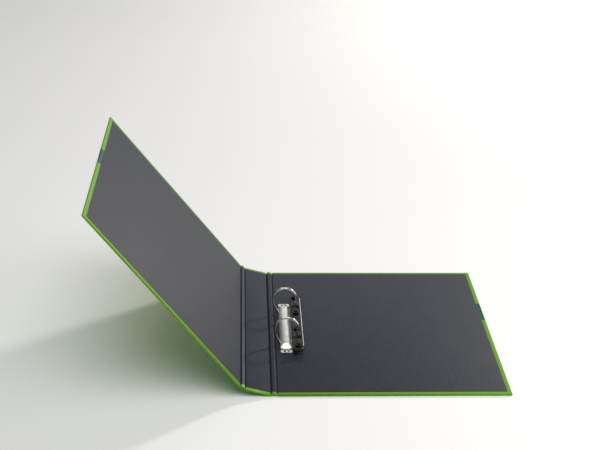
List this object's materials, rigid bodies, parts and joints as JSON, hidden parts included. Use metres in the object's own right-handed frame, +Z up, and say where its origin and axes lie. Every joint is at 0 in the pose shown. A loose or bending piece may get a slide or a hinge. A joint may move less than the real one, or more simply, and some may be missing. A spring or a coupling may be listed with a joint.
{
  "type": "ring binder",
  "caption": "Hardback ring binder lying open, with folding covers and spine, a domed ring mechanism and a sliding compressor bar for filing punched paper.",
  "frame": {"origin": "middle of the back cover's outer face, which lies on the ground", "axes": "+X from the spine to the back cover's fore-edge, +Y to the head of the binder, +Z up from the ground"},
  "size_m": [0.4818, 0.318, 0.2251],
  "materials": {
    "lime_paper": "satin",
    "greyboard": "matte",
    "dark_liner": "satin",
    "nickel": "polished",
    "steel": "satin",
    "black_plastic": "satin"
  },
  "bodies": {
    "back_cover": {"back_board": "greyboard", "back_wrap": "lime_paper", "back_liner": "dark_liner", "mechanism_plate": "nickel", "rivet_head": "nickel", "rivet_tail": "nickel"},
    "back_strip": {"back_strip_wrap": "lime_paper", "back_strip_liner": "dark_liner"},
    "spine": {"spine_board": "greyboard", "spine_wrap": "lime_paper", "spine_liner": "dark_liner"},
    "front_strip": {"front_strip_wrap": "lime_paper", "front_strip_liner": "dark_liner"},
    "front_cover": {"front_board": "greyboard", "front_wrap": "lime_paper", "front_liner": "dark_liner"},
    "right_ring": {"right_blade": "steel", "right_ring_head": "nickel", "right_ring_tail": "nickel"},
    "left_ring": {"left_blade": "steel", "left_ring_head": "nickel", "left_ring_tail": "nickel"},
    "bar": {"bar_channel": "black_plastic", "bar_edge": "steel", "grip_head_a": "black_plastic", "grip_head_b": "black_plastic", "grip_tail_a": "black_plastic", "grip_tail_b": "black_plastic"},
    "clamp_head": {"clamp_head": "black_plastic"},
    "clamp_tail": {"clamp_tail": "black_plastic"}
  },
  "joints": [
    {"name": "back_inner_fold", "type": "hinge", "parent": "back_cover", "child": "back_strip", "pos_m": [-0.135, 0, 0.00045], "axis": [0, -1, 0], "range_deg": [-45, 0]},
    {"name": "back_outer_fold", "type": "hinge", "parent": "back_strip", "child": "spine", "pos_m": [-0.1432, 0, 0.00045], "axis": [0, -1, 0], "range_deg": [-30.2, 14.8]},
    {"name": "front_inner_fold", "type": "hinge", "parent": "spine", "child": "front_strip", "pos_m": [-0.1722, 0, 0.00811], "axis": [0, -1, 0], "range_deg": [-26.6, 18.4]},
    {"name": "front_outer_fold", "type": "hinge", "parent": "front_strip", "child": "front_cover", "pos_m": [-0.17907, 0, 0.0126], "axis": [0, -1, 0], "range_deg": [-26.6, 18.4]},
    {"name": "right_ring_turn", "type": "hinge", "parent": "back_cover", "child": "right_ring", "pos_m": [-0.1158, 0, 0.0038], "axis": [0, 1, 0], "range_deg": [0, 12]},
    {"name": "left_ring_turn", "type": "hinge", "parent": "back_cover", "child": "left_ring", "pos_m": [-0.1278, 0, 0.0038], "axis": [0, 1, 0], "range_deg": [-12, 0]},
    {"name": "bar_lift", "type": "slide", "parent": "right_ring", "child": "bar", "axis": [0.3348, 0, 0.9423], "range_m": [0, 0.007]},
    {"name": "clamp_head_slide", "type": "slide", "parent": "bar", "child": "clamp_head", "axis": [1, 0, 0], "range_m": [0, 0.0012]},
    {"name": "clamp_tail_slide", "type": "slide", "parent": "bar", "child": "clamp_tail", "axis": [1, 0, 0], "range_m": [0, 0.0012]}
  ],
  "couplings": [
    {"joint": "front_inner_fold", "follows": "front_outer_fold", "ratio": 1},
    {"joint": "left_ring_turn", "follows": "right_ring_turn", "ratio": -1}
  ]
}
